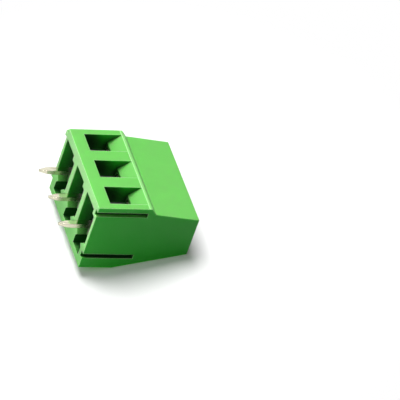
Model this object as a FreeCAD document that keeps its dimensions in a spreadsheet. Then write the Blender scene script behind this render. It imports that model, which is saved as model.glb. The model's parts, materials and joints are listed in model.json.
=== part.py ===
import FreeCAD, Part
import os
import Sketcher

# Rising-cage screw terminal for a circuit board.
# Frame: the board's surface is z = 0 and the solder pins go down through it.
# The row of pins lies on the X axis, the wires go in from -Y, the screws are turned from above.

# Driving dimensions, in millimetres unless the note says otherwise
SIZES = (
    ("pole_count", "3", "poles side by side"),
    ("pole_pitch", "5.08", "distance between poles, and length of housing per pole"),
    ("board_depth", "10.3", "housing from wire face to back wall, on the board"),
    ("overall_height", "14.4", "board to screw face"),
    ("front_height", "7.4", "height of the upright wire face"),
    ("step_inset", "0.9", "how far the step above the wire face goes back"),
    ("step_height", "8.15", "height of the inner corner of that step"),
    ("screw_face_front", "1.7", "wire face to front edge of the screw face"),
    ("screw_face_back", "7.75", "wire face to back edge of the screw face"),
    ("back_height", "4.8", "height of the upright back wall, below the sloping one"),
    ("edge_round", "0.15", "radius on the moulded outer edges"),
    ("rim_chamfer", "0.12", "chamfer on the screw openings"),
    ("pin_from_front", "5.1", "wire face to the row of pins"),
    ("partition", "0.98", "wall between the cells of two poles"),
    ("front_wall", "1.3", "thickness of the wall around the wire mouths"),
    ("back_wall", "1.0", "thickness of the back wall at the board"),
    ("lead_depth", "1.3", "chamber between the front wall and the cage's shaft"),
    ("groove_wall", "0.64", "corner blocks of the cell, behind a dovetail groove"),
    ("block_depth", "0.7", "front corner block, along the depth"),
    ("shelf_recess", "1.9", "board to the shelf behind the cage shaft"),
    ("web_thickness", "0.55", "web between riser slot and back slot"),
    ("back_slot_height", "3.4", "height of the open slot behind the web"),
    ("mouth_lip", "0.45", "cell side to mouth side"),
    ("mouth_floor", "1.8", "board to the lower edge of the wire mouth"),
    ("floor_rise", "0.7", "how far the floor of the mouth rises on its way in"),
    ("mouth_top", "7.05", "board to the top edge of the mouth, above its ramp"),
    ("ramp_depth", "1.25", "how far the two ramps of the mouth go in"),
    ("window_lip", "1.1", "cell side to the side of the window in the sloping back wall"),
    ("window_bottom", "5.0", "board to the window's lower edge"),
    ("window_top", "7.9", "board to the window's upper edge"),
    ("window_ramp_top", "9.5", "board to the top of the ramp above the window"),
    ("window_ramp_depth", "0.66", "depth of that ramp at the window's upper edge"),
    ("rib_from_front", "1.1", "wire face to the middle of the first dovetail rib"),
    ("rib_from_back", "2.0", "back wall to the middle of the second rib"),
    ("rib_length", "6.8", "length of a rib, up from the board"),
    ("rib_height", "0.6", "how far a rib stands out of the end wall"),
    ("rib_foot", "0.55", "width of a rib at the wall"),
    ("rib_head", "0.85", "width of a rib at its crest"),
    ("groove_gap", "0.05", "clearance of the dovetail groove round a rib, each side"),
    ("groove_extra", "0.2", "groove longer than the rib"),
    ("bore_wall", "0.88", "wall between two screw openings"),
    ("bore_flat", "0.16", "what the flat on the back of a screw opening leaves of its circle"),
    ("sliding_gap", "0.1", "clearance round the cage, each side"),
    ("seat_gap", "0.05", "clearance of the contact in its slots and of the screw tip, each side"),
    ("cage_length", "4.0", "clamping cage, along the wire"),
    ("cage_wall", "0.6", "side walls of the cage"),
    ("cage_floor", "0.65", "floor of the cage"),
    ("cage_collar", "2.4", "threaded top of the cage"),
    ("cage_round", "0.45", "outer corners of the cage"),
    ("closed_gap", "0.55", "cage floor to current bar when the clamp is closed with no wire"),
    ("tooth_pitch", "0.9", "spacing of the grip notches in the cage floor"),
    ("tooth_width", "0.5", "width of a grip notch"),
    ("tooth_depth", "0.18", "depth of a grip notch"),
    ("sheet_thickness", "0.65", "sheet that the contact is stamped from"),
    ("bar_underside", "5.4", "board to the underside of the current bar"),
    ("bar_gap", "0.15", "current bar to the cage's side walls, each side"),
    ("bar_overhang", "0.8", "current bar in front of the cage's shaft, in its seat"),
    ("bar_corner", "0.35", "cut corners at the front end of the current bar"),
    ("bend_outside", "0.45", "outer radius of the contact's bends"),
    ("bend_inside", "0.12", "inner radius of the contact's bends"),
    ("pin_width", "0.85", "solder pin, across"),
    ("pin_shoulder", "0.375", "how much wider the upright strip is than the pin, each side"),
    ("pin_length", "3.5", "solder pin, below the board surface"),
    ("pin_taper", "1.0", "length of the pin's tapered end"),
    ("pin_tip", "0.45", "width of the pin's end"),
    ("shank_gap", "0.1", "screw shank to the cage's side walls, each side"),
    ("thread_gap", "0.03", "clearance of the cage's hole round the shank, each side"),
    ("tip_chamfer", "0.35", "chamfer at the tip of the screw"),
    ("head_gap", "0.25", "screw head to its opening, each side"),
    ("head_height", "1.65", "screw head, along its axis"),
    ("head_chamfer", "0.2", "chamfer round the top of the head"),
    ("slot_width", "0.65", "driver slot, across"),
    ("slot_depth", "0.9", "driver slot, deep"),
    ("slot_turn", "36", "degrees from X to the first screw's slot, and from one screw to the next"),
)

doc = FreeCAD.newDocument("ScrewTerminal")
sheet = doc.addObject("Spreadsheet::Sheet", "Sizes")
for row, (alias, value, note) in enumerate(SIZES, start=1):
    sheet.set("A%d" % row, alias)
    sheet.set("B%d" % row, value)
    sheet.set("C%d" % row, note)
    sheet.setAlias("B%d" % row, alias)
doc.recompute()


def size(expression):
    """Value of an expression of the sheet's sizes."""
    return float(sheet.evalExpression(expression))


# Places along X
LENGTH = "(Sizes.pole_count * Sizes.pole_pitch)"
FIRST_POLE = "(-(Sizes.pole_count - 1) * Sizes.pole_pitch / 2)"
POLE_SPAN = "((Sizes.pole_count - 1) * Sizes.pole_pitch)"
RIB_END = "(-%s / 2)" % LENGTH
GROOVE_END = "(%s / 2)" % LENGTH
CELL_WIDTH = "(Sizes.pole_pitch - Sizes.partition)"
MOUTH_WIDTH = "(%s - 2 * Sizes.mouth_lip)" % CELL_WIDTH
WINDOW_WIDTH = "(%s - 2 * Sizes.window_lip)" % CELL_WIDTH
BORE_DIAMETER = "(Sizes.pole_pitch - Sizes.bore_wall)"
HEAD_DIAMETER = "(%s - 2 * Sizes.head_gap)" % BORE_DIAMETER
CAGE_WIDTH = "(%s - 2 * Sizes.sliding_gap)" % CELL_WIDTH
CAGE_INSIDE = "(%s - 2 * Sizes.cage_wall)" % CAGE_WIDTH
BAR_WIDTH = "(%s - 2 * Sizes.bar_gap)" % CAGE_INSIDE
RISER_WIDTH = "(Sizes.pin_width + 2 * Sizes.pin_shoulder)"
SHANK_DIAMETER = "(%s - 2 * Sizes.shank_gap)" % CAGE_INSIDE
THREAD_HOLE = "(%s + 2 * Sizes.thread_gap)" % SHANK_DIAMETER
RISER_REACH = "(%s / 2 + Sizes.seat_gap)" % RISER_WIDTH
POCKET_REACH = "(Sizes.pole_pitch / 2 - Sizes.rib_height - Sizes.groove_gap - Sizes.groove_wall)"

# Places along Y, from the wire face at the front to the back wall
FRONT = "(-Sizes.pin_from_front)"
BACK = "(Sizes.board_depth - Sizes.pin_from_front)"
STEP = "(Sizes.step_inset - Sizes.pin_from_front)"
FACE_FRONT = "(Sizes.screw_face_front - Sizes.pin_from_front)"
FACE_BACK = "(Sizes.screw_face_back - Sizes.pin_from_front)"
CELL_FRONT = "(%s + Sizes.front_wall)" % FRONT
CELL_BACK = "(%s - Sizes.back_wall)" % BACK
SHAFT_FRONT = "(%s + Sizes.lead_depth)" % CELL_FRONT
SCREW_Y = "(%s + Sizes.sliding_gap + Sizes.cage_length / 2)" % SHAFT_FRONT
SHAFT_BACK = "(%s + Sizes.cage_length / 2 + Sizes.sliding_gap)" % SCREW_Y
RISER_BACK = "(%s + Sizes.sheet_thickness)" % SHAFT_BACK
WEB_FRONT = "(%s + Sizes.seat_gap)" % RISER_BACK
WEB_BACK = "(%s + Sizes.web_thickness)" % WEB_FRONT
NOSE_TIP = "(%s - (%s - %s))" % (WEB_BACK, POCKET_REACH, RISER_REACH)
FLARE_START = "(%s - (%s / 2 - %s))" % (NOSE_TIP, CELL_WIDTH, RISER_REACH)
BAR_FRONT = "(%s - Sizes.bar_overhang)" % SHAFT_FRONT
BAR_SHOULDER = "(%s - (%s - %s) / 2)" % (SHAFT_BACK, BAR_WIDTH, RISER_WIDTH)

# Heights above the board
WIRE_FLOOR = "(Sizes.mouth_floor + Sizes.floor_rise)"
CAGE_BOTTOM = "(%s - Sizes.seat_gap - Sizes.cage_floor)" % WIRE_FLOOR
FLOOR_TOP = "(%s + Sizes.cage_floor)" % CAGE_BOTTOM
FOOT_TOP = "(%s - Sizes.sliding_gap)" % CAGE_BOTTOM
FOOT_UNDERSIDE = "(%s - Sizes.sheet_thickness)" % FOOT_TOP
BAR_TOP = "(Sizes.bar_underside + Sizes.sheet_thickness)"
COLLAR_UNDERSIDE = "(%s + Sizes.sliding_gap)" % BAR_TOP
CAGE_TOP = "(%s + Sizes.cage_collar)" % COLLAR_UNDERSIDE
TRAVEL = "(Sizes.bar_underside - %s - Sizes.closed_gap)" % FLOOR_TOP
SHAFT_TOP = "(%s + %s + Sizes.seat_gap)" % (CAGE_TOP, TRAVEL)
TIP = "(%s + Sizes.seat_gap)" % BAR_TOP
HEAD_UNDERSIDE = "(%s + Sizes.seat_gap)" % SHAFT_TOP
HEAD_TOP = "(%s + Sizes.head_height)" % HEAD_UNDERSIDE


def half(expression):
    """Half of an expression of the sizes."""
    return "(%s / 2)" % expression


def new_body(label, along_x="0", along_y="0"):
    """Sub-part with its own origin at the given place on the board."""
    body = doc.addObject("PartDesign::Body", label)
    body.Label = label
    body.setExpression("Placement.Base.x", along_x)
    body.setExpression("Placement.Base.y", along_y)
    return body


def origin_feature(body, role):
    """Plane or axis of the body's own origin."""
    return next(feature for feature in body.Origin.OriginFeatures if feature.Role == role)


def new_sketch(body, name, plane, shift="0"):
    """Sketch on an origin plane of the body, shifted along that plane's normal."""
    sketch = body.newObject("Sketcher::SketchObject", name)
    sketch.AttachmentSupport = [(origin_feature(body, plane), "")]
    sketch.MapMode = "FlatFace"
    sketch.setExpression("AttachmentOffset.Base.z", shift)
    return sketch


def bind_point(sketch, geometry, point, across, up):
    """Ties a point of the sketch to two expressions, measured from the sketch's origin."""
    for kind, expression in (("DistanceX", across), ("DistanceY", up)):
        index = sketch.addConstraint(
            Sketcher.Constraint(kind, -1, 1, geometry, point, size(expression)))
        name = "%s_%d" % (kind, index)
        sketch.renameConstraint(index, name)
        sketch.setExpression("Constraints." + name, expression)


def draw_outline(sketch, corners):
    """Closed outline of straight lines through corners given as expressions."""
    points = [FreeCAD.Vector(size(across), size(up), 0) for across, up in corners]
    lines = []
    for start, end in zip(points, points[1:] + points[:1]):
        lines.append(sketch.addGeometry(Part.LineSegment(start, end), False))
    for line, following in zip(lines, lines[1:] + lines[:1]):
        sketch.addConstraint(Sketcher.Constraint("Coincident", line, 2, following, 1))
    for line, (across, up) in zip(lines, corners):
        bind_point(sketch, line, 1, across, up)


def draw_rectangle(sketch, left, right, low, high):
    """Rectangle between four expressions."""
    draw_outline(sketch, [(left, low), (right, low), (right, high), (left, high)])


def bind_diameter(sketch, geometry, expression):
    """Ties the diameter of an arc or circle to an expression."""
    index = sketch.addConstraint(Sketcher.Constraint("Diameter", geometry, size(expression)))
    name = "Diameter_%d" % index
    sketch.renameConstraint(index, name)
    sketch.setExpression("Constraints." + name, expression)


def draw_circle(sketch, across, up, diameter):
    """Circle with its centre and diameter given as expressions."""
    centre = FreeCAD.Vector(size(across), size(up), 0)
    normal = FreeCAD.Vector(0, 0, 1)
    circle = sketch.addGeometry(Part.Circle(centre, normal, size(diameter) / 2), False)
    bind_point(sketch, circle, 3, across, up)
    bind_diameter(sketch, circle, diameter)


def draw_flatted_circle(sketch, across, up, diameter, flat):
    """Circle with a flat on its upper side, the given distance from its centre."""
    centre = FreeCAD.Vector(size(across), size(up), 0)
    radius = size(diameter) / 2
    rise = size(flat)
    reach = (radius ** 2 - rise ** 2) ** 0.5
    left = centre + FreeCAD.Vector(-reach, rise, 0)
    right = centre + FreeCAD.Vector(reach, rise, 0)
    bottom = centre + FreeCAD.Vector(0, -radius, 0)
    arc = sketch.addGeometry(Part.Arc(left, bottom, right), False)
    chord = sketch.addGeometry(Part.LineSegment(right, left), False)
    sketch.addConstraint(Sketcher.Constraint("Coincident", arc, 2, chord, 1))
    sketch.addConstraint(Sketcher.Constraint("Coincident", arc, 1, chord, 2))
    sketch.addConstraint(Sketcher.Constraint("Horizontal", chord))
    bind_point(sketch, arc, 3, across, up)
    bind_diameter(sketch, arc, diameter)
    index = sketch.addConstraint(
        Sketcher.Constraint("DistanceY", arc, 3, chord, 1, rise))
    sketch.renameConstraint(index, "flat")
    sketch.setExpression("Constraints.flat", flat)


def add_pad(body, name, sketch, length, symmetric=False):
    """Solid grown from the sketch along its normal, or to both sides of it."""
    pad = body.newObject("PartDesign::Pad", name)
    pad.Profile = sketch
    pad.SideType = "Symmetric" if symmetric else "One side"
    pad.setExpression("Length", length)
    doc.recompute()
    return pad


def add_pocket(body, name, sketch, length, symmetric=False, upward=False):
    """Cut from the sketch against its normal, along it, or to both sides of it."""
    before = body.Shape.Volume
    pocket = body.newObject("PartDesign::Pocket", name)
    pocket.Profile = sketch
    pocket.SideType = "Symmetric" if symmetric else "One side"
    pocket.Reversed = upward
    pocket.setExpression("Length", length)
    doc.recompute()
    if pocket.Shape.Volume >= before:
        raise RuntimeError("the cut %s takes nothing away" % name)
    return pocket


def add_pattern(body, name, originals, axis, span, count):
    """Row of copies of the given features along an axis of the body."""
    pattern = body.newObject("PartDesign::LinearPattern", name)
    pattern.Originals = originals
    pattern.Direction = (origin_feature(body, axis), [""])
    pattern.setExpression("Length", span)
    pattern.setExpression("Occurrences", count)
    body.Tip = pattern
    doc.recompute()
    return pattern


def edges_where(feature, test):
    """Names of the feature's edges whose ends and middle all pass the test."""
    names = []
    for number, edge in enumerate(feature.Shape.Edges, start=1):
        points = [vertex.Point for vertex in edge.Vertexes]
        points.append(edge.valueAt((edge.FirstParameter + edge.LastParameter) / 2))
        if all(test(point) for point in points):
            names.append("Edge%d" % number)
    if not names:
        raise RuntimeError("no edge of %s is where it should be" % feature.Label)
    return names


def near(value, expression):
    """True where a coordinate equals an expression of the sizes."""
    return abs(value - size(expression)) < 1e-4


def add_dressing(body, kind, name, base, edges, amount):
    """Fillet or chamfer on named edges of the feature."""
    dressing = body.newObject("PartDesign::" + kind, name)
    dressing.Base = (base, edges)
    dressing.setExpression("Radius" if kind == "Fillet" else "Size", amount)
    doc.recompute()
    return dressing


def rib_outlines(sketch, wall, outward, gap):
    """Two dovetail outlines on an end wall, wider at the crest than at the wall."""
    for middle in (
            "(%s + Sizes.rib_from_front)" % FRONT,
            "(%s - Sizes.rib_from_back)" % BACK):
        foot = "(Sizes.rib_foot / 2 + %s)" % gap
        head = "(Sizes.rib_head / 2 + %s)" % gap
        crest = "(%s + %d * (Sizes.rib_height + %s))" % (wall, outward, gap)
        draw_outline(sketch, [
            (wall, "%s - %s" % (middle, foot)),
            (crest, "%s - %s" % (middle, head)),
            (crest, "%s + %s" % (middle, head)),
            (wall, "%s + %s" % (middle, foot)),
        ])


def make_housing():
    """One moulding: stepped outside, open cells, wire funnels, windows, bores and dovetails."""
    body = new_body("housing")
    side = new_sketch(body, "SideProfile", "YZ_Plane")
    draw_outline(side, [
        (FRONT, "0"),
        (BACK, "0"),
        (BACK, "Sizes.back_height"),
        (FACE_BACK, "Sizes.overall_height"),
        (FACE_FRONT, "Sizes.overall_height"),
        (STEP, "Sizes.step_height"),
        (FRONT, "Sizes.front_height"),
    ])
    block = add_pad(body, "Block", side, LENGTH, symmetric=True)
    raised = edges_where(block, lambda point: point.z > size("Sizes.edge_round"))
    add_dressing(body, "Fillet", "OuterRounds", block, raised, "Sizes.edge_round")

    ribs = new_sketch(body, "RibSections", "XY_Plane")
    rib_outlines(ribs, RIB_END, -1, "0")
    add_pad(body, "Ribs", ribs, "Sizes.rib_length")
    grooves = new_sketch(body, "GrooveSections", "XY_Plane")
    rib_outlines(grooves, GROOVE_END, -1, "Sizes.groove_gap")
    add_pocket(body, "Grooves", grooves, "Sizes.rib_length + Sizes.groove_extra", upward=True)

    cell = make_cell(body)
    add_pattern(body, "Poles", cell, "X_Axis", POLE_SPAN, "Sizes.pole_count")
    rims = edges_where(
        body.Tip,
        lambda point: near(point.z, "Sizes.overall_height")
        and abs(point.y - size(SCREW_Y)) < size(BORE_DIAMETER) / 2 + 1e-3
        and abs(point.x) < size("%s / 2 - Sizes.edge_round" % LENGTH) - 1e-3)
    add_dressing(body, "Chamfer", "ScrewRims", body.Tip, rims, "Sizes.rim_chamfer")
    return body


def across_pole(reach):
    """Places on both sides of the first pole, the given distance from it."""
    return "(%s - %s)" % (FIRST_POLE, reach), "(%s + %s)" % (FIRST_POLE, reach)


def make_cell(body):
    """Cuts of the first pole, which the other poles repeat."""
    left, right = across_pole(half(CELL_WIDTH))
    slot_left, slot_right = across_pole(RISER_REACH)
    pocket_left, pocket_right = across_pole(POCKET_REACH)
    block_front = "(%s + Sizes.block_depth)" % CELL_FRONT

    recess = new_sketch(body, "BoardRecess", "XY_Plane")
    draw_outline(recess, [
        (left, CELL_FRONT), (pocket_right, CELL_FRONT), (pocket_right, block_front),
        (right, block_front), (right, FLARE_START), (slot_right, NOSE_TIP),
        (pocket_right, WEB_BACK), (pocket_right, CELL_BACK),
        (pocket_left, CELL_BACK), (pocket_left, WEB_BACK),
        (slot_left, NOSE_TIP), (left, FLARE_START),
    ])
    cuts = [add_pocket(body, "Recess", recess, "Sizes.shelf_recess", upward=True)]

    lead = new_sketch(body, "LeadSection", "XY_Plane")
    draw_outline(lead, [
        (left, CELL_FRONT), (pocket_right, CELL_FRONT), (pocket_right, block_front),
        (right, block_front), (right, SHAFT_FRONT), (left, SHAFT_FRONT),
    ])
    cuts.append(add_pocket(body, "Lead", lead, "Sizes.mouth_floor", upward=True))

    shaft = new_sketch(body, "ShaftSection", "XY_Plane")
    draw_rectangle(shaft, left, right, SHAFT_FRONT, SHAFT_BACK)
    cuts.append(add_pocket(body, "Shaft", shaft, SHAFT_TOP, upward=True))

    riser = new_sketch(body, "RiserSlotSection", "XY_Plane")
    draw_rectangle(riser, slot_left, slot_right, SHAFT_BACK, WEB_FRONT)
    slot_top = "%s + Sizes.seat_gap" % BAR_TOP
    cuts.append(add_pocket(body, "RiserSlot", riser, slot_top, upward=True))

    bar = new_sketch(body, "BarSeatSection", "XY_Plane")
    bar_left, bar_right = across_pole("(%s / 2 + Sizes.seat_gap)" % BAR_WIDTH)
    draw_rectangle(bar, bar_left, bar_right, "%s - Sizes.seat_gap" % BAR_FRONT, SHAFT_FRONT)
    cuts.append(add_pocket(body, "BarSeat", bar, slot_top, upward=True))

    back = new_sketch(body, "BackSlotSection", "XY_Plane")
    draw_rectangle(back, pocket_left, pocket_right, WEB_BACK, CELL_BACK)
    cuts.append(add_pocket(body, "BackSlot", back, "Sizes.back_slot_height", upward=True))

    mouth = new_sketch(body, "MouthProfile", "YZ_Plane", FIRST_POLE)
    ramp_end = "(%s + Sizes.ramp_depth)" % FRONT
    draw_outline(mouth, [
        (FRONT, "Sizes.mouth_floor"),
        (ramp_end, WIRE_FLOOR),
        (SHAFT_FRONT, WIRE_FLOOR),
        (SHAFT_FRONT, "Sizes.bar_underside"),
        (ramp_end, "Sizes.bar_underside"),
        (FRONT, "Sizes.mouth_top"),
    ])
    cuts.append(add_pocket(body, "Mouth", mouth, MOUTH_WIDTH, symmetric=True))

    slope = "((%s - %s) / (Sizes.overall_height - Sizes.back_height))" % (BACK, FACE_BACK)
    ramp_tip = "(%s - (Sizes.window_ramp_top - Sizes.back_height) * %s)" % (BACK, slope)
    window_face = "(%s - (Sizes.window_top - Sizes.back_height) * %s)" % (BACK, slope)
    window = new_sketch(body, "WindowProfile", "YZ_Plane", FIRST_POLE)
    draw_outline(window, [
        (SHAFT_BACK, "Sizes.window_bottom"),
        (BACK, "Sizes.window_bottom"),
        (BACK, "Sizes.window_ramp_top"),
        (ramp_tip, "Sizes.window_ramp_top"),
        ("%s - Sizes.window_ramp_depth" % window_face, "Sizes.window_top"),
        (SHAFT_BACK, "Sizes.window_top"),
    ])
    cuts.append(add_pocket(body, "Window", window, WINDOW_WIDTH, symmetric=True))

    bore = new_sketch(body, "BoreSection", "XY_Plane", "Sizes.overall_height")
    flat_reach = "(%s - Sizes.bore_flat)" % half(BORE_DIAMETER)
    draw_flatted_circle(bore, FIRST_POLE, SCREW_Y, BORE_DIAMETER, flat_reach)
    bore_depth = "Sizes.overall_height - %s" % SHAFT_TOP
    cuts.append(add_pocket(body, "Bore", bore, bore_depth))
    return cuts


def make_contact(label, pole_x):
    """One stamped and bent strip: current bar, riser behind the cage, foot and solder pin."""
    body = new_body(label, pole_x)
    bar = new_sketch(body, "BarOutline", "XY_Plane", "Sizes.bar_underside")
    nose = "(%s - Sizes.bar_corner)" % half(BAR_WIDTH)
    nose_back = "(%s + Sizes.bar_corner)" % BAR_FRONT
    right_side = [
        (nose, BAR_FRONT), (half(BAR_WIDTH), nose_back), (half(BAR_WIDTH), BAR_SHOULDER),
        (half(RISER_WIDTH), SHAFT_BACK), (half(RISER_WIDTH), RISER_BACK),
    ]
    left_side = [("(-%s)" % across, along) for across, along in reversed(right_side)]
    draw_outline(bar, right_side + left_side)
    add_pad(body, "Bar", bar, "Sizes.sheet_thickness")

    strip = new_sketch(body, "StripProfile", "YZ_Plane")
    pin_face = half("Sizes.sheet_thickness")
    tip_face = half("Sizes.pin_tip")
    taper_start = "(Sizes.pin_taper - Sizes.pin_length)"
    draw_outline(strip, [
        ("(-%s)" % tip_face, "(-Sizes.pin_length)"),
        (tip_face, "(-Sizes.pin_length)"),
        (pin_face, taper_start),
        (pin_face, FOOT_UNDERSIDE),
        (RISER_BACK, FOOT_UNDERSIDE),
        (RISER_BACK, BAR_TOP),
        (SHAFT_BACK, BAR_TOP),
        (SHAFT_BACK, FOOT_TOP),
        ("(-%s)" % pin_face, FOOT_TOP),
        ("(-%s)" % pin_face, taper_start),
    ])
    add_pad(body, "Strip", strip, RISER_WIDTH, symmetric=True)

    blank = new_sketch(body, "PinBlank", "XZ_Plane")
    spare = "(%s + Sizes.sheet_thickness)" % half(RISER_WIDTH)
    shoulder_top = "(%s + Sizes.pin_shoulder)" % FOOT_TOP
    below = "(-Sizes.pin_length - Sizes.sheet_thickness)"
    draw_rectangle(blank, "(-%s)" % spare, spare, below, shoulder_top)
    pin_side = [
        (tip_face, "(-Sizes.pin_length)"), (half("Sizes.pin_width"), taper_start),
        (half("Sizes.pin_width"), FOOT_TOP), (half(RISER_WIDTH), shoulder_top),
    ]
    other_side = [("(-%s)" % across, up) for across, up in reversed(pin_side)]
    draw_outline(blank, pin_side + other_side)
    add_pocket(body, "PinSides", blank, "2 * Sizes.board_depth", symmetric=True)

    def bend_at(along, up):
        return edges_where(
            body.Tip, lambda point: near(point.y, along) and near(point.z, up))

    outside = bend_at(RISER_BACK, BAR_TOP) + bend_at(RISER_BACK, FOOT_UNDERSIDE)
    outside += bend_at("(-%s)" % pin_face, FOOT_TOP)
    add_dressing(body, "Fillet", "OuterBends", body.Tip, outside, "Sizes.bend_outside")
    inside = bend_at(SHAFT_BACK, "Sizes.bar_underside") + bend_at(SHAFT_BACK, FOOT_TOP)
    inside += bend_at(pin_face, FOOT_UNDERSIDE)
    add_dressing(body, "Fillet", "InnerBends", body.Tip, inside, "Sizes.bend_inside")
    return body


def make_cage(label, pole_x):
    """Square tube along the wire with a thick threaded top and notches in its floor."""
    body = new_body(label, pole_x, SCREW_Y)
    section = new_sketch(body, "TubeSection", "XZ_Plane")
    outer = half(CAGE_WIDTH)
    inner = half(CAGE_INSIDE)
    draw_rectangle(section, "(-%s)" % outer, outer, CAGE_BOTTOM, CAGE_TOP)
    draw_rectangle(section, "(-%s)" % inner, inner, FLOOR_TOP, COLLAR_UNDERSIDE)
    tube = add_pad(body, "Tube", section, "Sizes.cage_length", symmetric=True)
    corners = edges_where(
        tube,
        lambda point: near(abs(point.x), outer)
        and (near(point.z, CAGE_BOTTOM) or near(point.z, CAGE_TOP)))
    lengthwise = [
        name for name in corners
        if tube.Shape.getElement(name).Length > size("Sizes.cage_length") - 1e-3]
    add_dressing(body, "Fillet", "TubeRounds", tube, lengthwise, "Sizes.cage_round")

    hole = new_sketch(body, "ThreadSection", "XY_Plane", CAGE_TOP)
    draw_circle(hole, "0", "0", THREAD_HOLE)
    add_pocket(body, "ThreadHole", hole, "Sizes.cage_collar")

    notch = new_sketch(body, "NotchProfile", "YZ_Plane")
    middle = "(-Sizes.tooth_pitch)"
    draw_outline(notch, [
        ("%s - %s" % (middle, half("Sizes.tooth_width")), FLOOR_TOP),
        (middle, "%s - Sizes.tooth_depth" % FLOOR_TOP),
        ("%s + %s" % (middle, half("Sizes.tooth_width")), FLOOR_TOP),
    ])
    first = add_pocket(body, "Notch", notch, CAGE_INSIDE, symmetric=True)
    add_pattern(body, "Notches", [first], "Y_Axis", "2 * Sizes.tooth_pitch", "3")
    return body


def make_screw(label, pole_x, turn):
    """Turned slotted screw with a cylindrical head."""
    body = new_body(label, pole_x, SCREW_Y)
    body.setExpression("Placement.Rotation.Angle", turn)
    profile = new_sketch(body, "HalfProfile", "XZ_Plane")
    shank = half(SHANK_DIAMETER)
    head = half(HEAD_DIAMETER)
    draw_outline(profile, [
        ("0", TIP),
        ("%s - Sizes.tip_chamfer" % shank, TIP),
        (shank, "%s + Sizes.tip_chamfer" % TIP),
        (shank, HEAD_UNDERSIDE),
        (head, HEAD_UNDERSIDE),
        (head, "%s - Sizes.head_chamfer" % HEAD_TOP),
        ("%s - Sizes.head_chamfer" % head, HEAD_TOP),
        ("0", HEAD_TOP),
    ])
    turned = body.newObject("PartDesign::Revolution", "Turned")
    turned.Profile = profile
    turned.ReferenceAxis = (profile, ["V_Axis"])
    doc.recompute()

    slot = new_sketch(body, "SlotSection", "YZ_Plane")
    draw_rectangle(
        slot, "(-%s)" % half("Sizes.slot_width"), half("Sizes.slot_width"),
        "%s - Sizes.slot_depth" % HEAD_TOP, "%s + Sizes.head_chamfer" % HEAD_TOP)
    add_pocket(body, "Slot", slot, HEAD_DIAMETER + " + Sizes.head_chamfer", symmetric=True)
    return body


sub_parts = [make_housing()]
for index in range(int(size("Sizes.pole_count"))):
    pole_x = "%s + %d * Sizes.pole_pitch" % (FIRST_POLE, index)
    sub_parts.append(make_contact("contact_%d" % (index + 1), pole_x))
    sub_parts.append(make_cage("clamp_cage_%d" % (index + 1), pole_x))
    slot_angle = "%d * Sizes.slot_turn" % (index + 1)
    sub_parts.append(make_screw("clamp_screw_%d" % (index + 1), pole_x, slot_angle))
doc.recompute()

for item in doc.Objects:
    if "Invalid" in item.State or "Error" in item.State:
        raise RuntimeError("%s failed: %s" % (item.Label, item.State))
for body in sub_parts:
    if body.Shape.isNull() or not body.Shape.isValid() or len(body.Shape.Solids) != 1:
        raise RuntimeError("%s is not one sound solid" % body.Label)

os.makedirs("parts", exist_ok=True)
for body in sub_parts:
    body.Shape.exportStep("parts/%s.step" % body.Label)
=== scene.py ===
import json
import math

import bmesh
import bpy
from bpy.props import FloatProperty, FloatVectorProperty, IntProperty, PointerProperty
from mathutils import Matrix, Quaternion, Vector

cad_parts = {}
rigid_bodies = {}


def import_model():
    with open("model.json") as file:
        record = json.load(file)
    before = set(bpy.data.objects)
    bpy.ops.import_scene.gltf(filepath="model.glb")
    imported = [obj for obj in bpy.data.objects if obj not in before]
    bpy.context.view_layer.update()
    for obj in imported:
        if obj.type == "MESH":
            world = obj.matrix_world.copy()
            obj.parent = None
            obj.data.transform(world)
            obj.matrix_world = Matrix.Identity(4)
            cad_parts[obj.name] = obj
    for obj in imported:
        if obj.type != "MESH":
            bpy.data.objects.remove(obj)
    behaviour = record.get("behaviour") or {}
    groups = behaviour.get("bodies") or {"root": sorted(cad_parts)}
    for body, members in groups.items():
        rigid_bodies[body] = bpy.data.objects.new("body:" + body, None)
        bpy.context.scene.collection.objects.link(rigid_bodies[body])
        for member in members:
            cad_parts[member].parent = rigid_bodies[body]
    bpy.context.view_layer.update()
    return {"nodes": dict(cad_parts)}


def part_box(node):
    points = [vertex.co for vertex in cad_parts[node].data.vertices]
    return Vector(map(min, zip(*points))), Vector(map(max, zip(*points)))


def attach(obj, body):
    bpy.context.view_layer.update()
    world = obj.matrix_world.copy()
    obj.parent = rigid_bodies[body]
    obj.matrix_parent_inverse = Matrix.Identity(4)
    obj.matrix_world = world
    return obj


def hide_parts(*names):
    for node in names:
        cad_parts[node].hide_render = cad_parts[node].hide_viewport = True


# Looks of a three-pole screw terminal for circuit boards, lying on its back on a white table.
# All lengths are in metres, in the frame of the packed model.

bl_info = {
    "name": "Board screw terminal",
    "version": (1, 0, 0),
    "blender": (4, 5, 0),
    "location": "View3D > Sidebar > Terminal",
    "description": "Finishes, threaded screws and studio of a three-pole board screw terminal",
    "category": "Object",
}

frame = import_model()

POLES = (1, 2, 3)
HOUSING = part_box("housing")
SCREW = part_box("clamp_screw_2")
SCREW_AXIS = (SCREW[0] + SCREW[1]) / 2
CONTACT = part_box("contact_2")
POLE_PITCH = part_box("clamp_screw_3")[0].x - SCREW[0].x
MM = 0.001
WHITE = (1, 1, 1, 1)

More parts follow.
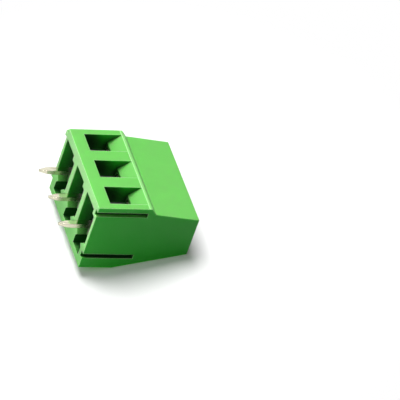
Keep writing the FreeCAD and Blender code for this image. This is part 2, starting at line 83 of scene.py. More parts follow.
# Where a finish of the housing, or its painted highlight or painted shade, fades in, from none of
# it to all of it.
END_WALL_TURN = (0.75, 0.95)            # X of the face's normal
FRONT_TURN = (-0.85, -0.92)             # Y of the face's normal
FRONT_PLACE = (-2.3 * MM, -2.5 * MM)    # Y of the faces in the daylight
CELL_SIDE = (2.12 * MM, 2.07 * MM)      # X from the pole's axis
CELL_TOP = (5.0 * MM, 3.0 * MM)         # Z of the cells' dark part
DEEP_SKY = (0.68, 0.32)                 # share of open sky in the inner spaces
EDGE_SKY = (0.7, 0.9)                   # share of open sky at edges that stick out
RIM_HEIGHT = (0.12 * MM, 0.04 * MM)     # Z of the rim on the board
RIM_PLACE = (4.2 * MM, -0.5 * MM)       # Y of the rim's painted highlight
WIRE_FACE = (HOUSING[0].y + 0.02 * MM, HOUSING[0].y + 0.01 * MM)    # Y of the wire face
LIP_LINE = (0.1 * MM, 0.03 * MM)        # Z from the lip's lower edge
LIP_STEP = 0.05 * MM                    # height over which the lip itself fades in
LIP_HIGHLIGHT = 0.3                          # painted highlight on the lip, as a share of the line's

# Where the finishes of the metal pieces, and their painted highlights and painted shade, fade in,
# from none of them to all of them.
PUNCHED_TURN = (0.6, 0.9)               # X of the face's normal
STREAK_NOISE = (0.48, 0.66)             # noise that becomes a dull streak
POINT_HEIGHT = (CONTACT[0].z + 0.25 * MM, CONTACT[0].z)     # Z of the solder pin's point
SHADED_TIN_HEIGHT = (0.1 * MM, 0.9 * MM)      # Z of the painted shade on the tin inside the housing
SLOT_SHADE_SKY = (0.9, 0.45)                # share of open sky in the screw's slot, which sets its painted shade
SLOT_SHADE_REACH = 1.2 * MM                 # how far round a point that sky is judged
TURNING_MARKS = 0.06 * MM               # between two rings on the screw

SKY_REACH = 5 * MM       # how far round a point the housing's open sky is judged
CELL_SHADE = -0.2        # added to the open sky in the cells, which are darker than it says
THREAD_FLANK = (0.07, 0.43)    # from root to crest, in turns
SHANK_IN_HEAD = 0.1 * MM       # how far the shank reaches into the head
PIN_CUTS = 12            # rings along a solder pin, so that it can be drawn to a curve
TABLE_GAP = 0.12 * MM    # under the housing, so that rays that leave it meet the table
TABLE_CORNERS = 64
UNDER_REACH = 2.5 * MM   # how near to the table a face counts as lying on it
TABLE_FADE = (24 * MM, 45 * MM)     # from the middle, over which the table turns white


class PlasticFinish(bpy.types.PropertyGroup):
    """Green moulded polyamide of the housing"""
    colour: FloatVectorProperty(
        name="Colour", description="Colour of the moulding compound", subtype="COLOR",
        size=3, min=0, max=1, default=(0.15, 0.58, 0.095))
    # Painted shade: the dark green painted into the cells, mouths and grooves, where little light
    # gets in.
    painted_shade_colour: FloatVectorProperty(
        name="Deep colour", description="Green of the narrow inner spaces", subtype="COLOR",
        size=3, min=0, max=1, default=(0.001, 0.05, 0.002))
    # Painted shade: a darker, more saturated green painted on the faces turned along X, the end
    # walls and partitions, which the light hardly reaches.
    side_shade_colour: FloatVectorProperty(
        name="End wall colour", description="Green of the smoother end walls and partitions",
        subtype="COLOR", size=3, min=0, max=1, default=(0.018, 0.50, 0.018))
    # Painted highlight: the paler green painted on the rims, the lip and the outer edges, where
    # they catch the light.
    highlight_colour: FloatVectorProperty(
        name="Edge colour", description="Paler green where edges are rubbed", subtype="COLOR",
        size=3, min=0, max=1, default=(0.42, 0.81, 0.34))
    roughness: FloatProperty(
        name="Roughness", description="Satin sheen of the moulded faces", min=0, max=1,
        default=0.42)
    grain: FloatProperty(
        name="Grain size", description="Size of the spark-eroded grain", unit="LENGTH",
        default=0.09 * MM, precision=5)
    grain_depth: FloatProperty(
        name="Grain depth", description="Height of the grain", unit="LENGTH",
        default=0.002 * MM, precision=6)
    edge_radius: FloatProperty(
        name="Edge radius", description="Softening of the moulded inner edges", unit="LENGTH",
        default=0.14 * MM, precision=5)
    lip_height: FloatProperty(
        name="Lip", description="Height above the board where the wire face's upper lip begins",
        unit="LENGTH", default=7.04 * MM, precision=5)


class MetalFinish(bpy.types.PropertyGroup):
    """Tinned contacts, plated cages and screws"""
    tin_colour: FloatVectorProperty(
        name="Tin", description="Tin plating of the contacts", subtype="COLOR",
        size=3, min=0, max=1, default=(0.87, 0.84, 0.66))
    # Painted shade: the darker tin painted on the contacts inside the housing.
    shaded_tin_colour: FloatVectorProperty(
        name="Dull tin", description="Tin that nothing rubs, inside the housing", subtype="COLOR",
        size=3, min=0, max=1, default=(0.40, 0.38, 0.32))
    sheared_colour: FloatVectorProperty(
        name="Sheared edge", description="Punched edges of the strip", subtype="COLOR",
        size=3, min=0, max=1, default=(0.56, 0.52, 0.40))
    cage_colour: FloatVectorProperty(
        name="Cage", description="Zinc plating of the cages", subtype="COLOR",
        size=3, min=0, max=1, default=(0.27, 0.275, 0.28))
    screw_colour: FloatVectorProperty(
        name="Screw", description="Bright zinc plating of the screws", subtype="COLOR",
        size=3, min=0, max=1, default=(0.60, 0.63, 0.68))
    strip_edge: FloatProperty(
        name="Strip edge", description="Rounding of the contact strip's edges", unit="LENGTH",
        default=0.05 * MM, precision=5)
    pin_point: FloatProperty(
        name="Pin point", description="Width of the solder pin's end, as a share of its full width",
        min=0.1, max=1, default=0.55)


class ScrewSizes(bpy.types.PropertyGroup):
    """Thread and head of the clamping screws"""
    thread_pitch: FloatProperty(
        name="Thread pitch", description="Rise of the thread in one turn", unit="LENGTH",
        default=0.45 * MM, precision=5)
    crest_radius: FloatProperty(
        name="Crest radius", description="Screw's axis to the thread's crest", unit="LENGTH",
        default=1.25 * MM, precision=5)
    run_out: FloatProperty(
        name="Run out", description="Length over which the thread fades at both ends",
        unit="LENGTH", default=0.4 * MM, precision=5)
    thread_depth: FloatProperty(
        name="Thread depth", description="Crest to root of the thread", unit="LENGTH",
        default=0.26 * MM, precision=5)
    head_height: FloatProperty(
        name="Head height", description="Underside to top of the slotted head", unit="LENGTH",
        default=1.65 * MM, precision=5)
    steps_per_turn: IntProperty(
        name="Steps per turn", description="Points round the shank", min=12, max=96, default=48)
    steps_per_pitch: IntProperty(
        name="Steps per pitch", description="Rings along one pitch", min=6, max=32, default=12)
    edge_break: FloatProperty(
        name="Edge break", description="Rounding of the head's and the slot's edges",
        unit="LENGTH", default=0.05 * MM, precision=5)


class Studio(bpy.types.PropertyGroup):
    """Camera, lamps and table"""
    azimuth: FloatProperty(
        name="Camera azimuth", description="Round the Z axis, from -Y towards +X",
        subtype="ANGLE", default=math.radians(47.96))
    elevation: FloatProperty(
        name="Camera elevation", description="Above the board's plane",
        subtype="ANGLE", default=math.radians(-22.73))
    roll: FloatProperty(
        name="Camera roll", description="Turn about its line of sight",
        subtype="ANGLE", default=math.radians(91.36))
    aim: FloatVectorProperty(
        name="Camera aim", description="Point in the middle of the picture", subtype="TRANSLATION",
        size=3, default=(2.742 * MM, -2.543 * MM, 16.12 * MM))
    distance: FloatProperty(
        name="Camera distance", description="From the camera to its aim", unit="LENGTH",
        default=0.5126)
    lens: FloatProperty(
        name="Lens", description="Focal length in millimetres on a 36 mm sensor", default=354.9)
    table_size: FloatProperty(
        name="Table size", description="Width of the white table", unit="LENGTH", default=0.6)
    key_direction: FloatVectorProperty(
        name="Key direction", description="Towards the key lamp, in the camera's axes",
        subtype="XYZ", size=3, default=(-0.11, 0.88, 0.42))
    key_distance: FloatProperty(
        name="Key distance", description="From the key lamp to the terminal", unit="LENGTH",
        default=0.6)
    key_width: FloatProperty(
        name="Key width", description="Width of the square key lamp", unit="LENGTH", default=0.34)
    key_strength: FloatProperty(
        name="Key power", description="Power of the key lamp", unit="POWER", default=4.8)
    fill_direction: FloatVectorProperty(
        name="Fill direction", description="Towards the small lamp beside the camera, in its axes",
        subtype="XYZ", size=3, default=(-0.65, -0.12, 0.75))
    fill_distance: FloatProperty(
        name="Fill distance", description="From the fill lamp to the terminal", unit="LENGTH",
        default=0.036)
    fill_width: FloatProperty(
        name="Fill width", description="Width of the square fill lamp", unit="LENGTH",
        default=0.024)
    fill_strength: FloatProperty(
        name="Fill power", description="Power of the fill lamp", unit="POWER", default=0.0068)
    fill_on_table: FloatProperty(
        name="Fill on the table", min=0, max=1, default=0.35,
        description="Share of the fill lamp's light that the table gets too")
    overhead: FloatProperty(
        name="Overhead light", description="Brightness of the room over the table", default=0.22)
    horizon: FloatProperty(
        name="Side light", description="Brightness of the room at table height", default=0.02)
    underneath: FloatProperty(
        name="Light underneath", default=0.5,
        description="Light on the faces that lie on the table, for views from below")
    table_white: FloatProperty(
        name="Table white", description="Table's colour where it is seen or mirrored", default=0.88)
    table_glow: FloatProperty(
        name="Table glow", default=0.02,
        description="Added where the table is seen or mirrored, so that it is white")
    table_grey: FloatProperty(
        name="Table grey", default=0.14,
        description="Share of the light that the table gives back to the terminal")


def settings():
    """The user's values of all groups."""
    return bpy.context.scene


# Numbers of the two value sockets, and of the result, of each kind of Mix node.
MIX_INPUTS = {"FLOAT": (2, 3), "VECTOR": (4, 5), "RGBA": (6, 7)}
MIX_OUTPUT = {"FLOAT": 0, "VECTOR": 1, "RGBA": 2}


def add_node(tree, kind, inputs=(), **options):
    """Node with its options set, and its inputs linked or filled; inputs is a dict or a list."""
    node = tree.nodes.new(kind)
    for name, value in options.items():
        setattr(node, name, value)
    pairs = inputs.items() if isinstance(inputs, dict) else enumerate(inputs)
    for key, value in pairs:
        if isinstance(value, bpy.types.NodeSocket):
            tree.links.new(value, node.inputs[key])
        elif value is not None:
            node.inputs[key].default_value = value
    return node


def maths(tree, operation, *values):
    """Result of a Math node of a shader or geometry tree."""
    return add_node(tree, "ShaderNodeMath", values, operation=operation).outputs[0]


def smooth_between(tree, value, low, high):
    """0 below low, 1 above high, smooth between; high may be the smaller one."""
    node = add_node(
        tree, "ShaderNodeMapRange", {"Value": value, "From Min": low, "From Max": high},
        interpolation_type="SMOOTHSTEP")
    return node.outputs["Result"]


def remap(tree, value, low, high):
    """A value from 0 to 1 brought between low and high."""
    node = add_node(tree, "ShaderNodeMapRange", {"Value": value, "To Min": low, "To Max": high})
    return node.outputs["Result"]


def blend(tree, kind, factor, first, second):
    """Result of a Mix node of one kind; first and second are sockets or plain values."""
    inputs = MIX_INPUTS[kind]
    node = add_node(
        tree, "ShaderNodeMix", {0: factor, inputs[0]: first, inputs[1]: second}, data_type=kind)
    return node.outputs[MIX_OUTPUT[kind]]


def mix_colours(tree, factor, first, second):
    """Colour between two, each a socket or an RGB triple."""
    pair = [colour if isinstance(colour, bpy.types.NodeSocket) else (*colour, 1.0)
            for colour in (first, second)]
    return blend(tree, "RGBA", factor, *pair)


def shade(colour, share):
    """RGB triple made darker or paler."""
    return tuple(min(1.0, share * part) for part in colour)


def product(tree, first, *others):
    """All the values multiplied together."""
    for value in others:
        first = maths(tree, "MULTIPLY", first, value)
    return first


def split(tree, vector):
    """Outputs X, Y and Z of a vector."""
    return add_node(tree, "ShaderNodeSeparateXYZ", [vector]).outputs


def true_normal(tree):
    """The face's own normal, without bumps."""
    return tree.nodes.new("ShaderNodeNewGeometry").outputs["True Normal"]


def open_sky(tree, reach):
    """Share of the sky over a point that the piece itself leaves open, out to a distance."""
    node = add_node(
        tree, "ShaderNodeAmbientOcclusion", {"Distance": reach}, samples=8, only_local=True)
    return node.outputs["AO"]


def from_pole_axis(tree, x):
    """X measured from the nearest pole's axis."""
    return maths(tree, "WRAP", x, POLE_PITCH / 2, -POLE_PITCH / 2)


def noise(tree, point, size, detail=3.0, roughness=0.5):
    """Noise from 0 to 1 whose blotches have the given size."""
    inputs = {"Vector": point, "Scale": 1 / size, "Detail": detail, "Roughness": roughness}
    return add_node(tree, "ShaderNodeTexNoise", inputs).outputs["Fac"]


def stretched(tree, point, scale):
    """Coordinates pulled out of shape, for grain that runs one way."""
    node = add_node(tree, "ShaderNodeMapping", {"Vector": point, "Scale": scale})
    return node.outputs["Vector"]


def bump(tree, height, depth, normal=None, strength=1.0):
    """Normal of a surface whose relief goes from 0 to the given depth."""
    inputs = {"Strength": strength, "Distance": depth, "Height": height}
    if normal is not None:
        inputs["Normal"] = normal
    return add_node(tree, "ShaderNodeBump", inputs).outputs["Normal"]


def new_material(name):
    """Empty node material with its output, and the object coordinates it is painted on."""
    material = bpy.data.materials.new(name)
    material.use_nodes = True
    tree = material.node_tree
    tree.nodes.clear()
    point = tree.nodes.new("ShaderNodeTexCoord").outputs["Object"]
    return material, tree, point


def close_material(tree, inputs):
    """Principled surface with the given inputs, wired to the output."""
    surface = add_node(tree, "ShaderNodeBsdfPrincipled", inputs)
    add_node(tree, "ShaderNodeOutputMaterial", {"Surface": surface.outputs[0]})


def edge_mask(tree, radius, full_at):
    """Rounded normal near edges, and a mask that is 1 where it leaves the true one so far."""
    rounded = add_node(tree, "ShaderNodeBevel", {"Radius": radius}, samples=6).outputs[0]
    agreement = add_node(
        tree, "ShaderNodeVectorMath", [rounded, true_normal(tree)], operation="DOT_PRODUCT")
    return rounded, smooth_between(tree, agreement.outputs["Value"], 1.0, full_at)


def inner_space(tree, facing, place, sky):
    """Mask of the painted shade in the cells, mouths and grooves, where little daylight comes in.
    """
    front = product(
        tree, smooth_between(tree, facing["Y"], *FRONT_TURN),
        smooth_between(tree, place["Y"], *FRONT_PLACE))
    aside = maths(tree, "ABSOLUTE", from_pole_axis(tree, place["X"]))
    in_cell = product(
        tree, smooth_between(tree, aside, *CELL_SIDE), smooth_between(tree, place["Z"], *CELL_TOP))
    hollow = maths(tree, "MULTIPLY_ADD", in_cell, CELL_SHADE, sky)
    inside = smooth_between(tree, hollow, *DEEP_SKY)
    return product(tree, inside, maths(tree, "SUBTRACT", 1.0, front))


def wire_lip(tree, place, lip_height):
    """Mask of the lip along the wire face's upper edge, and of the painted highlight on it."""
    wire_face = smooth_between(tree, place["Y"], *WIRE_FACE)
    lip = product(
        tree, wire_face, smooth_between(tree, place["Z"], lip_height, lip_height + LIP_STEP))
    from_line = maths(tree, "ABSOLUTE", maths(tree, "SUBTRACT", place["Z"], lip_height))
    line = smooth_between(tree, from_line, *LIP_LINE)
    # Painted highlight: the bright line, and a fainter one over the whole lip.
    skin = maths(tree, "MAXIMUM", line, product(tree, lip, LIP_HIGHLIGHT))
    return lip, product(tree, wire_face, skin)


def plastic_material(finish):
    """Satin green polyamide: fine grain, flow marks, painted highlights on rims, lip and edges,
    painted shade on the end walls and in the inner spaces.
    """
    material, tree, point = new_material("moulded_green_polyamide")
    rounded, edges = edge_mask(tree, finish.edge_radius, full_at=0.97)
    flow = noise(
        tree, stretched(tree, point, (1.0, 1.0, 0.45)), size=2.2 * MM, detail=4.0, roughness=0.6)
    speckle = noise(tree, point, size=0.35 * MM, detail=5.0, roughness=0.65)
    facing = split(tree, true_normal(tree))
    place = split(tree, point)
    sky = open_sky(tree, SKY_REACH)
    pale_highlight = tuple(finish.highlight_colour)

    colour = mix_colours(tree, flow, shade(finish.colour, 0.86), tuple(finish.colour))
    # Painted shade on the faces turned along X.
    wall = smooth_between(tree, maths(tree, "ABSOLUTE", facing["X"]), *END_WALL_TURN)
    colour = mix_colours(tree, wall, colour, tuple(finish.side_shade_colour))
    # Painted shade, darker where less of the sky is open round a point.
    inside = inner_space(tree, facing, place, sky)
    colour = mix_colours(tree, inside, colour, tuple(finish.painted_shade_colour))
    # Painted highlight on the rims at the board, broken up by speckle.
    rim = product(
        tree, smooth_between(tree, place["Z"], *RIM_HEIGHT),
        smooth_between(tree, place["Y"], *RIM_PLACE), remap(tree, speckle, 0.4, 0.75))
    colour = mix_colours(tree, rim, colour, pale_highlight)
    # Painted highlight lines along the wire face's lip.
    lip, lip_highlight = wire_lip(tree, place, finish.lip_height)
    colour = mix_colours(tree, lip_highlight, colour, pale_highlight)
    # Painted highlight along the edges that stick out, broken up by speckle.
    sticks_out = smooth_between(tree, sky, *EDGE_SKY)
    edge_highlight = product(tree, edges, sticks_out, remap(tree, speckle, 0.6, 1.0))
    colour = mix_colours(tree, edge_highlight, colour, pale_highlight)

    sheen = remap(tree, flow, finish.roughness - 0.05, finish.roughness + 0.06)
    normal = blend(tree, "VECTOR", sticks_out, true_normal(tree), rounded)
    normal = bump(tree, lip, 0.02 * MM, normal)
    normal = bump(tree, noise(tree, point, size=1.4 * MM, detail=2.0), 0.004 * MM, normal)
    grain = noise(tree, point, finish.grain, detail=4.0, roughness=0.6)
    close_material(tree, {
        "Base Color": colour,
        "Roughness": maths(tree, "ADD", sheen, product(tree, speckle, 0.06)),
        "Normal": bump(tree, grain, finish.grain_depth, normal),
        "IOR": 1.53,
        "Specular IOR Level": 0.3,
        "Subsurface Weight": 0.6,
        "Subsurface Radius": (0.12, 1.0, 0.1),
        "Subsurface Scale": 0.8 * MM})
    return material


def contact_material(finish):
    """Tin over brass strip: drawn streaks, duller punched sides and point, painted shade along its
    edges and on the tin inside the housing.
    """
    material, tree, point = new_material("tinned_brass_strip")
    rounded, edges = edge_mask(tree, 0.09 * MM, full_at=0.93)
    lines = noise(
        tree, stretched(tree, point, (1.0, 1.0, 0.06)), size=0.035 * MM, detail=3.0, roughness=0.6)
    streaks = noise(tree, stretched(tree, point, (1.0, 1.0, 0.15)), size=0.3 * MM, detail=2.0)
    blotches = noise(tree, point, size=0.5 * MM, detail=4.0, roughness=0.6)
    height = split(tree, point)["Z"]
    sideways = maths(tree, "ABSOLUTE", split(tree, true_normal(tree))["X"])
    punched = smooth_between(tree, sideways, *PUNCHED_TURN)
    tip = smooth_between(tree, height, *POINT_HEIGHT)
    inside = smooth_between(tree, height, *SHADED_TIN_HEIGHT)
    sheared = tuple(finish.sheared_colour)

    colour = mix_colours(
        tree, blotches, shade(finish.tin_colour, 0.86), tuple(finish.tin_colour))
    streak = product(tree, smooth_between(tree, streaks, *STREAK_NOISE), 0.55)
    colour = mix_colours(tree, streak, colour, sheared)
    colour = mix_colours(tree, product(tree, punched, 0.75), colour, sheared)
    colour = mix_colours(tree, product(tree, tip, 0.6), colour, sheared)
    # Painted shade: dark lines along the strip's edges.
    colour = mix_colours(tree, product(tree, edges, 0.8), colour, shade(sheared, 0.45))
    # Painted shade on the tin inside the housing.
    colour = mix_colours(tree, inside, colour, tuple(finish.shaded_tin_colour))

    rough = remap(tree, lines, 0.06, 0.14)
    rough = maths(tree, "ADD", rough, product(tree, punched, 0.15))
    rough = maths(tree, "ADD", rough, product(tree, inside, 0.2))
    normal = bump(tree, lines, 0.0015 * MM, rounded)
    normal = bump(tree, blotches, 0.006 * MM, normal)
    close_material(tree, {
        "Base Color": colour, "Roughness": rough, "Normal": normal, "Metallic": 1.0})
    return material


def cage_material(finish):
    """Zinc-plated steel with drawn lines along the wire, a cloudy passivated skin and a painted
    highlight along its edges.
    """
    material, tree, point = new_material("zinc_plated_cage")
    rounded, edges = edge_mask(tree, 0.06 * MM, full_at=0.9)
    lines = noise(tree, stretched(tree, point, (1.0, 0.08, 1.0)), size=0.05 * MM)
    clouds = noise(tree, point, size=0.8 * MM, detail=5.0, roughness=0.65)
    pale = shade(finish.cage_colour, 1.15)
    colour = mix_colours(tree, clouds, tuple(finish.cage_colour), pale)
    # The base colour gets a painted highlight of paler zinc along the edges.
    close_material(tree, {
        "Base Color": mix_colours(tree, product(tree, edges, 0.5), colour, pale),
        "Roughness": remap(tree, clouds, 0.6, 0.75),
        "Normal": bump(tree, lines, 0.005 * MM, rounded),
        "Metallic": 1.0})
    return material


def screw_material(finish):
    """Bright zinc with turning marks in rings round each screw's axis, a painted highlight on its
    edges and painted shade in its slot.
    """
    material, tree, point = new_material("bright_zinc_screw")
    rounded, edges = edge_mask(tree, 0.04 * MM, full_at=0.9)
    place = split(tree, point)
    across = from_pole_axis(tree, place["X"])
    along = maths(tree, "SUBTRACT", place["Y"], SCREW_AXIS.y)
    squares = maths(
        tree, "ADD", product(tree, across, across), product(tree, along, along))
    turns = product(tree, maths(tree, "SQRT", squares), 2 * math.pi / TURNING_MARKS)
    rings = maths(tree, "MULTIPLY_ADD", maths(tree, "SINE", turns), 0.5, 0.5)
    clouds = noise(tree, point, size=0.6 * MM, detail=5.0, roughness=0.6)
    hollow = smooth_between(tree, open_sky(tree, SLOT_SHADE_REACH), *SLOT_SHADE_SKY)

    zinc = tuple(finish.screw_colour)
    colour = mix_colours(tree, clouds, shade(zinc, 0.82), zinc)
    # Painted highlight: paler zinc along the edges.
    colour = mix_colours(tree, product(tree, edges, 0.6), colour, shade(zinc, 1.2))
    # Painted shade: dark zinc in the slot, where little sky is open.
    colour = mix_colours(tree, hollow, colour, shade(zinc, 0.16))
    rough = maths(tree, "ADD", remap(tree, clouds, 0.26, 0.42), product(tree, rings, 0.06))
    normal = bump(tree, rings, 0.0015 * MM, rounded)
    normal = bump(tree, noise(tree, point, size=0.15 * MM), 0.003 * MM, normal)
    close_material(tree, {
        "Base Color": colour, "Roughness": rough, "Normal": normal, "Metallic": 1.0})
    return material


def dress(names, material):
    """Gives the nodes of the packed model one material all over."""
    for name in names:
        mesh = frame["nodes"][name].data
        mesh.materials.clear()
        mesh.materials.append(material)


def tree_input(tree, name, kind, default):
    """Named input of a geometry tree."""
    socket = tree.interface.new_socket(name, in_out="INPUT", socket_type=kind)
    if default is not None:
        socket.default_value = default
    return socket


def thread_tree(sizes, material):
    """Geometry tree of a threaded shank: a fine cylinder whose skin is pushed out along a helix."""
    tree = bpy.data.node_groups.new("threaded_shank", "GeometryNodeTree")
    tree.interface.new_socket("Geometry", in_out="OUTPUT", socket_type="NodeSocketGeometry")
    tree_input(tree, "Crest Radius", "NodeSocketFloat", sizes.crest_radius)
    tree_input(tree, "Depth", "NodeSocketFloat", sizes.thread_depth)
    tree_input(tree, "Pitch", "NodeSocketFloat", sizes.thread_pitch)
    tree_input(tree, "Length", "NodeSocketFloat", None)
    tree_input(tree, "Run Out", "NodeSocketFloat", sizes.run_out)
    tree_input(tree, "Steps Round", "NodeSocketInt", sizes.steps_per_turn)
    tree_input(tree, "Steps Along", "NodeSocketInt", None)
    tree_input(tree, "Centre", "NodeSocketVector", None)
    given = tree.nodes.new("NodeGroupInput").outputs
    rod = add_node(tree, "GeometryNodeMeshCylinder", {
        "Vertices": given["Steps Round"], "Side Segments": given["Steps Along"],
        "Radius": given["Crest Radius"], "Depth": given["Length"]})
    place = split(tree, tree.nodes.new("GeometryNodeInputPosition").outputs[0])
    across, along, up = (place[axis] for axis in "XYZ")
    turn = maths(tree, "DIVIDE", maths(tree, "ARCTAN2", along, across), 2 * math.pi)
    phase = maths(tree, "SUBTRACT", maths(tree, "DIVIDE", up, given["Pitch"]), turn)
    half_turn = maths(tree, "PINGPONG", phase, 0.5)
    ridge = smooth_between(tree, half_turn, *THREAD_FLANK)
    half_length = maths(tree, "MULTIPLY", given["Length"], 0.5)
    from_tip = maths(tree, "ADD", up, half_length)
    from_head = maths(tree, "SUBTRACT", half_length, up)
    lead_in = smooth_between(tree, from_tip, 0.0, given["Run Out"])
    lead_out = smooth_between(tree, from_head, 0.0, given["Run Out"])
    ridge = product(tree, ridge, product(tree, lead_in, lead_out))
    root = maths(tree, "SUBTRACT", given["Crest Radius"], given["Depth"])
    radius = maths(tree, "ADD", root, product(tree, ridge, given["Depth"]))
    ratio = maths(tree, "DIVIDE", radius, given["Crest Radius"])
    pushed = add_node(tree, "ShaderNodeCombineXYZ", [
        product(tree, across, ratio), product(tree, along, ratio), up])
    moved = add_node(
        tree, "ShaderNodeVectorMath", [pushed.outputs[0], given["Centre"]], operation="ADD")
    shaped = add_node(tree, "GeometryNodeSetPosition", {
        "Geometry": rod.outputs["Mesh"], "Position": moved.outputs[0]})
    smooth = add_node(tree, "GeometryNodeSetShadeSmooth", {"Geometry": shaped.outputs[0]})
    real = add_node(tree, "GeometryNodeRealizeInstances", {"Geometry": smooth.outputs[0]})
    painted = add_node(tree, "GeometryNodeSetMaterial", {"Geometry": real.outputs[0]})
    painted.inputs["Material"].default_value = material
    add_node(tree, "NodeGroupOutput", {"Geometry": painted.outputs[0]})
    return tree


def baked(tree, name, values):
    """Plain mesh of a geometry tree for the given named values."""
    carrier = bpy.data.objects.new(name + "_carrier", bpy.data.meshes.new(name + "_carrier"))
    bpy.context.scene.collection.objects.link(carrier)
    modifier = carrier.modifiers.new(name, "NODES")
    modifier.node_group = tree
    for item in tree.interface.items_tree:
        if item.in_out == "INPUT" and item.name in values:
            modifier[item.identifier] = values[item.name]
    graph = bpy.context.evaluated_depsgraph_get()
    mesh = bpy.data.meshes.new_from_object(carrier.evaluated_get(graph))
    mesh.name = name
    bpy.data.objects.remove(carrier)
    return mesh


def merged_copy(node):
    """Packed node's mesh as a bmesh whose loose triangles are joined up."""
    shape = bmesh.new()
    shape.from_mesh(frame["nodes"][node].data)
    bmesh.ops.remove_doubles(shape, verts=shape.verts, dist=0.0005 * MM)
    return shape


def whole_of(shape):
    """All vertices, edges and faces of a bmesh."""
    return shape.verts[:] + shape.edges[:] + shape.faces[:]


def finished_mesh(shape, name, material):
    """Mesh with one material from a bmesh, which is freed."""
    mesh = bpy.data.meshes.new(name)
    shape.to_mesh(mesh)
    shape.free()
    mesh.materials.append(material)
    return mesh


def break_edges(shape, width):
    """Joins flat triangles to faces and rounds the sharp edges between them."""
    bmesh.ops.dissolve_limit(
        shape, angle_limit=math.radians(2), verts=shape.verts, edges=shape.edges)
    sharp = [edge for edge in shape.edges
             if edge.is_manifold and edge.calc_face_angle() > math.radians(35)]
    bmesh.ops.bevel(
        shape, geom=sharp, offset=width, segments=2, profile=0.5, affect="EDGES",
        clamp_overlap=True)
    bmesh.ops.recalc_face_normals(shape, faces=shape.faces)


def contact_piece(node, finish, material):
    """Mesh of a contact with rounded edges, whose solder pin is drawn to a finer point."""
    shape = merged_copy(node)
    break_edges(shape, finish.strip_edge)
    low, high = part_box(node)
    pin_x = (low.x + high.x) / 2    # the pin's axis is at Y = 0
    for step in range(1, PIN_CUTS):
        bmesh.ops.bisect_plane(
            shape, geom=whole_of(shape), plane_co=(0, 0, low.z * step / PIN_CUTS),
            plane_no=(0, 0, 1))
    for vertex in shape.verts:
        if vertex.co.z < 0:
            share = vertex.co.z / low.z
            narrow = 1 - (1 - finish.pin_point) * share ** 3
            vertex.co.x = pin_x + (vertex.co.x - pin_x) * narrow
            vertex.co.y *= narrow
    bmesh.ops.recalc_face_normals(shape, faces=shape.faces)
    return finished_mesh(shape, node + "_strip", material)


def screw_head(node, underside, sizes, material):
    """Head cut from a merged copy of the packed screw, with its edges broken."""
    shape = merged_copy(node)
    cut = bmesh.ops.bisect_plane(
        shape, geom=whole_of(shape), plane_co=(0, 0, underside), plane_no=(0, 0, -1),
        clear_outer=True)
    rim = [item for item in cut["geom_cut"] if isinstance(item, bmesh.types.BMEdge)]
    bmesh.ops.holes_fill(shape, edges=rim)
    break_edges(shape, sizes.edge_break)
    return finished_mesh(shape, node + "_head", material)


def joined(name, meshes):
    """One object at the origin that holds all the meshes."""
    shape = bmesh.new()
    for mesh in meshes:
        shape.from_mesh(mesh)
    whole = finished_mesh(shape, name, meshes[0].materials[0])
    for mesh in meshes:
        bpy.data.meshes.remove(mesh)
    piece = bpy.data.objects.new(name, whole)
    bpy.context.scene.collection.objects.link(piece)
    return piece


class TERMINAL_OT_finish_housing(bpy.types.Operator):
    """Gives the housing its moulded plastic"""
    bl_idname = "terminal.finish_housing"
    bl_label = "Finish housing"

    def execute(self, context):
        dress(["housing"], plastic_material(settings().terminal_plastic))
        return {"FINISHED"}


class TERMINAL_OT_build_contacts(bpy.types.Operator):
    """Builds each contact of tinned strip with its pointed solder pin"""
    bl_idname = "terminal.build_contacts"
    bl_label = "Build contacts"

    def execute(self, context):
        finish = settings().terminal_metal
        material = contact_material(finish)
        dress(["contact_%d" % pole for pole in POLES], material)
        for pole in POLES:
            node = "contact_%d" % pole
            piece = joined("tinned_contact_%d" % pole, [contact_piece(node, finish, material)])
            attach(piece, "terminal")
            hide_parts(node)
        return {"FINISHED"}


class TERMINAL_OT_finish_cages(bpy.types.Operator):
    """Gives the clamping cages their zinc plating"""
    bl_idname = "terminal.finish_cages"
    bl_label = "Finish cages"

    def execute(self, context):
        dress(["clamp_cage_%d" % pole for pole in POLES], cage_material(settings().terminal_metal))
        return {"FINISHED"}


class TERMINAL_OT_build_screws(bpy.types.Operator):
    """Builds each clamping screw with its thread and its slotted head"""
    bl_idname = "terminal.build_screws"
    bl_label = "Build screws"

    def execute(self, context):
        sizes = settings().terminal_screws
        material = screw_material(settings().terminal_metal)
        dress(["clamp_screw_%d" % pole for pole in POLES], material)
        tree = thread_tree(sizes, material)
        underside = SCREW[1].z - sizes.head_height
        tip = SCREW[0].z
        length = underside - tip + SHANK_IN_HEAD
        for pole in POLES:
            node = "clamp_screw_%d" % pole
            low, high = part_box(node)
            centre = (low + high) / 2
            centre.z = tip + length / 2
            shank = baked(tree, "screw_shank_%d" % pole, {
                "Crest Radius": sizes.crest_radius,
                "Depth": sizes.thread_depth,
                "Pitch": sizes.thread_pitch,
                "Length": length,
                "Run Out": sizes.run_out,
                "Steps Round": sizes.steps_per_turn,
                "Steps Along": round(sizes.steps_per_pitch * length / sizes.thread_pitch),
                "Centre": centre,
            })
            head = screw_head(node, underside, sizes, material)
            piece = joined("threaded_screw_%d" % pole, [head, shank])
            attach(piece, "screw_%d" % pole)
            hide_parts(node)
        return {"FINISHED"}


def camera_turn(studio):
    """Direction from the aim to the camera, and the camera's rotation."""
    flat = math.cos(studio.elevation)
    toward = Vector((
        math.sin(studio.azimuth) * flat, -math.cos(studio.azimuth) * flat,
        math.sin(studio.elevation)))
    turn = toward.to_track_quat("Z", "Y") @ Quaternion((0, 0, 1), studio.roll)
    return toward, turn


